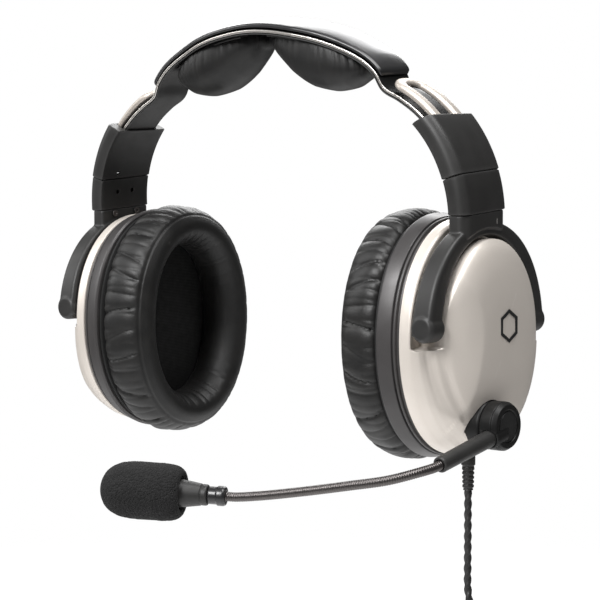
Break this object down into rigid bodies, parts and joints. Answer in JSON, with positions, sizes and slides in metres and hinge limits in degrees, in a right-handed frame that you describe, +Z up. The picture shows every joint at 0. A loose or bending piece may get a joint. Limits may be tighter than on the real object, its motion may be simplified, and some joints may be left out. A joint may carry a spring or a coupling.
{
  "type": "aviation headset",
  "caption": "Over-ear aviation headset with oval cups in forked yokes, curved size sliders, a gooseneck boom microphone and a cord with a round panel plug.",
  "frame": {"origin": "the place of the top of the head under the crown pads, in the plane of symmetry between the two cups", "axes": "+Z up, -Y the way the wearer faces, +X the wearer's left, where the boom microphone and the cord are"},
  "size_m": [0.2487, 0.1702, 0.3934],
  "materials": {
    "champagne_shell": "satin metallic paint",
    "champagne_metal": "satin anodised",
    "steel": "polished",
    "band_spring": "satin",
    "gloss_black": "gloss",
    "matte_black": "matte",
    "satin_grey": "satin",
    "gunmetal": "satin",
    "leather_black": "soft grain",
    "foam_charcoal": "open foam",
    "circuit_green": "matte",
    "cord_black": "matte"
  },
  "bodies": {
    "headband": {"band_cover": "gloss_black", "spring_band": "band_spring", "band_liner": "matte_black", "pad_base_left": "matte_black", "pad_base_right": "matte_black", "head_pad_left": "leather_black", "head_pad_right": "leather_black", "size_rail_left": "champagne_metal", "size_rail_right": "champagne_metal"},
    "left_slider": {"sleeve_upper_left": "matte_black", "sleeve_middle_left": "matte_black"},
    "right_slider": {"sleeve_upper_right": "matte_black", "sleeve_middle_right": "matte_black"},
    "left_fork": {"yoke_left": "matte_black", "swivel_pin_left": "steel", "neck_screw_front_left": "gunmetal", "neck_screw_back_left": "gunmetal", "pivot_pin_front_left": "steel", "pivot_pin_back_left": "steel"},
    "right_fork": {"yoke_right": "matte_black", "swivel_pin_right": "steel", "neck_screw_front_right": "gunmetal", "neck_screw_back_right": "gunmetal", "pivot_pin_front_right": "steel", "pivot_pin_back_right": "steel"},
    "left_cup": {"cup_shell_left": "champagne_shell", "cup_ring_left": "satin_grey", "baffle_left": "matte_black", "driver_left": "matte_black", "ear_screen_left": "foam_charcoal", "circuit_board_left": "circuit_green", "ear_cushion_left": "leather_black", "boom_base": "matte_black", "boom_screw": "steel", "strain_relief": "matte_black", "cord_drop": "cord_black", "cord_coil": "cord_black", "cord_tie": "matte_black", "cord_tail": "cord_black", "plug_boot": "matte_black", "plug_barrel": "steel", "plug_insert": "matte_black"},
    "right_cup": {"cup_shell_right": "champagne_shell", "cup_ring_right": "satin_grey", "baffle_right": "matte_black", "driver_right": "matte_black", "ear_screen_right": "foam_charcoal", "circuit_board_right": "circuit_green", "ear_cushion_right": "leather_black"},
    "boom": {"boom_knob": "matte_black", "boom_arm": "matte_black", "gooseneck": "gunmetal", "mic_collar": "matte_black", "mic_housing": "matte_black", "mic_capsule": "steel", "windscreen": "foam_charcoal"}
  },
  "joints": [
    {"name": "left_size", "type": "hinge", "parent": "headband", "child": "left_slider", "pos_m": [0.05, 0, -0.058], "axis": [0, -0.9962, -0.0872], "range_deg": [-10, 18]},
    {"name": "right_size", "type": "hinge", "parent": "headband", "child": "right_slider", "pos_m": [-0.05, 0, -0.058], "axis": [0, 0.9962, 0.0872], "range_deg": [-10, 18]},
    {"name": "left_swivel", "type": "hinge", "parent": "left_slider", "child": "left_fork", "pos_m": [0.109, 0, -0.058], "axis": [0, -0.0872, 0.9962], "range_deg": [-8, 8]},
    {"name": "right_swivel", "type": "hinge", "parent": "right_slider", "child": "right_fork", "pos_m": [-0.109, 0, -0.058], "axis": [0, 0.0872, -0.9962], "range_deg": [-8, 8]},
    {"name": "left_tilt", "type": "hinge", "parent": "left_fork", "child": "left_cup", "pos_m": [0.1073, 0.0045, -0.106], "axis": [0, -1, 0], "range_deg": [-3, 12]},
    {"name": "right_tilt", "type": "hinge", "parent": "right_fork", "child": "right_cup", "pos_m": [-0.1073, 0.0045, -0.106], "axis": [0, 1, 0], "range_deg": [-3, 12]},
    {"name": "boom_swing", "type": "hinge", "parent": "left_cup", "child": "boom", "pos_m": [0.1239, -0.0039, -0.1481], "axis": [-1, 0, 0], "range_deg": [-20, 70]}
  ]
}
